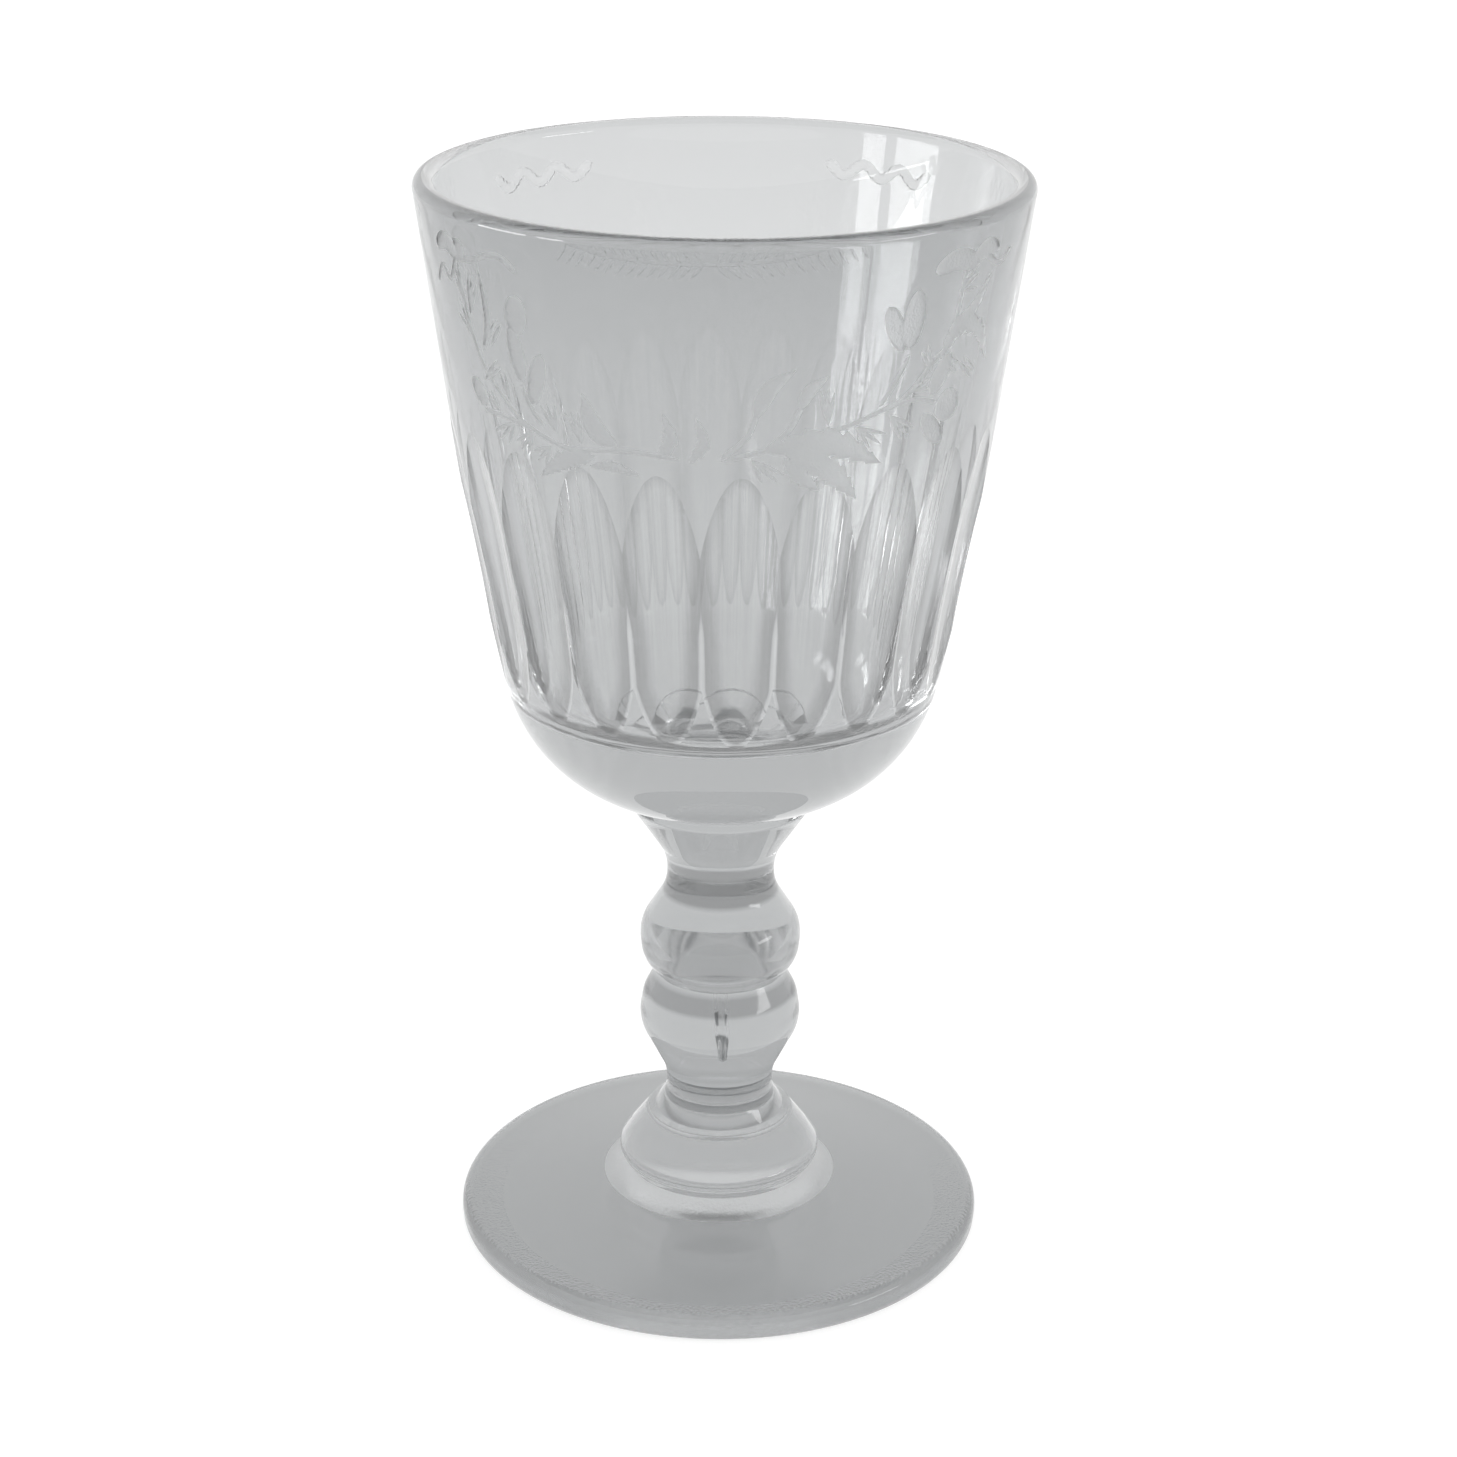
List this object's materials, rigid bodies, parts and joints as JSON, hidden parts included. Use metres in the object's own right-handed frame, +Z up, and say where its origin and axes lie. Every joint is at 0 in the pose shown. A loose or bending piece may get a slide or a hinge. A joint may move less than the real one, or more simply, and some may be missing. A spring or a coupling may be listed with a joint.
{
  "type": "footed drinking glass",
  "caption": "Footed drinking goblet of clear glass with a tall tapered bowl ground in flutes, a knopped stem between collars, and a round foot, for serving drinks at table.",
  "frame": {"origin": "middle of the foot's flat resting ring, on the surface that the glass stands on", "axes": "+Z up along the axis of the glass, from foot to rim; -Y towards the front, where a flute is centred; +X to the right of the front"},
  "size_m": [0.0796, 0.0798, 0.15],
  "materials": {
    "bowl_glass": "polished, with ground flutes and matt engraving",
    "stem_glass": "fire polished",
    "foot_glass": "fire polished, with a worn ring below"
  },
  "bodies": {
    "root": {"bowl": "bowl_glass", "bowl_collar": "stem_glass", "upper_knop": "stem_glass", "lower_knop": "stem_glass", "foot_collar": "stem_glass", "foot": "foot_glass"}
  },
  "joints": []
}
